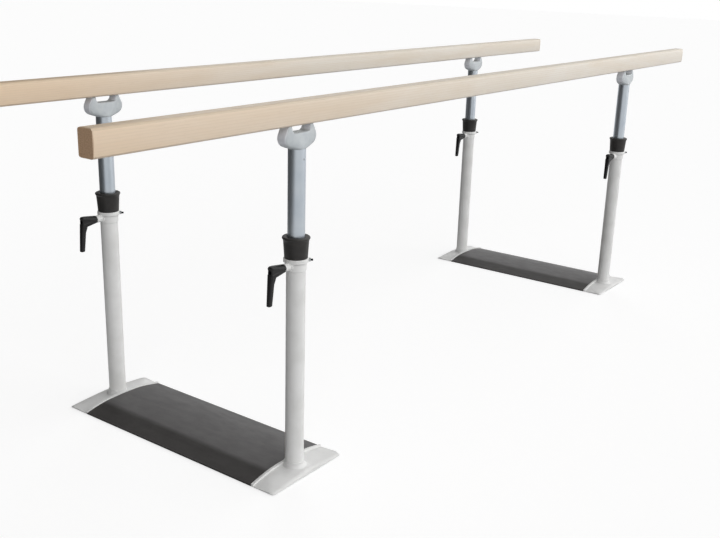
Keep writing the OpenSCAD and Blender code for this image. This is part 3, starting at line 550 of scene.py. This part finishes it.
def seenRay(tree):
    # 1 for rays that show the background: camera, glossy and transmission
    rays = addNode(tree, "ShaderNodeLightPath")
    direct = addNode(tree, "ShaderNodeMath", links={0: (rays, "Is Camera Ray"),
                     1: (rays, "Is Glossy Ray")}, props={"operation": "MAXIMUM"})
    return addNode(tree, "ShaderNodeMath", links={0: (direct, "Value"),
                   1: (rays, "Is Transmission Ray")}, props={"operation": "MAXIMUM"})


floorPaint, floorTree, floorShader = newMaterial("paleFloor", {
    "Base Color": hexColour(studio["floor"]), "Roughness": 0.95, "Specular IOR Level": 0.0,
    "Emission Color": hexColour(studio["white"])})
glowLevel = addNode(floorTree, "ShaderNodeMapRange", {"To Max": studio["floorGlow"]},
                    {"Value": (seenRay(floorTree), "Value")})
joinInputs(floorTree, floorShader, {"Emission Strength": (glowLevel, "Result")})
floor = flatPanel("floor", studio["floorMetres"], studio["floorMetres"], floorPaint)
floor.location.z = cadBox[0][2]

flagCloth, flagTree, flagShader = newMaterial("blackFlag", {
    "Base Color": hexColour(studio["flag"]), "Roughness": 1.0})
# a flag thins out towards its end beside the camera, so that its mirror image has no hard
# edge, and shows only from its front
flagRun = addNode(flagTree, "ShaderNodeSeparateXYZ", links={
    "Vector": (addNode(flagTree, "ShaderNodeTexCoord"), "Object")})
clearUpTo, denseFrom = studio["flagFade"]
flagFade = addNode(flagTree, "ShaderNodeMapRange", {"From Min": clearUpTo, "From Max": denseFrom},
                   {"Value": (flagRun, "X")})
flagDensity = addNode(flagTree, "ShaderNodeMath", links={0: (flagFade, "Result"),
                      1: (addNode(flagTree, "ShaderNodeNewGeometry"), "Backfacing")},
                      props={"operation": "SUBTRACT", "use_clamp": True})
joinInputs(flagTree, flagShader, {"Alpha": (flagDensity, "Value")})
for name, setting in flags.items():
    flag = flatPanel(name, setting["size"][0], setting["size"][1], flagCloth)
    flag.location = setting["place"]
    # stood upright, then turned
    flag.rotation_euler = (math.radians(90), 0, math.radians(setting["turnDeg"]))
    flag.visible_camera = False
    flag.visible_diffuse = False
    flag.visible_shadow = False

world = bpy.data.worlds.new("softWhite")
bpy.context.scene.world = world
world.use_nodes = True
sky = world.node_tree
sky.nodes.clear()
skyLevel = addNode(sky, "ShaderNodeMapRange", {"To Min": studio["worldStrength"]},
                   {"Value": (seenRay(sky), "Value")})
skyGlow = addNode(sky, "ShaderNodeBackground", {"Color": hexColour(studio["white"])},
                  {"Strength": (skyLevel, "Result")})
addNode(sky, "ShaderNodeOutputWorld", links={"Surface": (skyGlow, "Background")})

for name, setting in lamps.items():
    light = bpy.data.lights.new(name, "SUN")
    light.energy = setting["strength"]
    light.angle = math.radians(setting["softDeg"])
    lamp = bpy.data.objects.new(name, light)
    bpy.context.scene.collection.objects.link(lamp)
    lamp.rotation_euler = Vector(setting["toward"]).to_track_quat("Z", "Y").to_euler()
    lamp.visible_glossy = setting["mirrored"]

# camera at the photograph's viewpoint, solved from the rails, posts and bases
viewpoint = {"place": (-2.51992, -1.64444, 1.15346), "yawDeg": 35.91, "pitchDeg": 17.32,
             "rollDeg": -1.70, "focalPx": 951.14, "widthPx": 720, "sensorMm": 36,
             "clipMetres": (0.05, 100)}
yaw, pitch, roll = [math.radians(viewpoint[k]) for k in ("yawDeg", "pitchDeg", "rollDeg")]
forward = Vector((math.cos(yaw) * math.cos(pitch), math.sin(yaw) * math.cos(pitch),
                  -math.sin(pitch)))
# the view's axes while level, then rolled
levelRight = Vector((math.sin(yaw), -math.cos(yaw), 0))
levelDown = forward.cross(levelRight)
rightward = levelRight * math.cos(roll) + levelDown * math.sin(roll)
downward = levelDown * math.cos(roll) - levelRight * math.sin(roll)
lens = bpy.data.cameras.new("photoCamera")
lens.sensor_width = viewpoint["sensorMm"]
lens.lens = viewpoint["sensorMm"] * viewpoint["focalPx"] / viewpoint["widthPx"]
lens.clip_start, lens.clip_end = viewpoint["clipMetres"]
eye = bpy.data.objects.new("photoCamera", lens)
bpy.context.scene.collection.objects.link(eye)
looking = Matrix((rightward, -downward, -forward)).transposed()
eye.matrix_world = Matrix.Translation(viewpoint["place"]) @ looking.to_4x4()
bpy.context.scene.camera = eye
bpy.context.scene.view_settings.view_transform = "Standard"
print("stage, lamps and camera set")
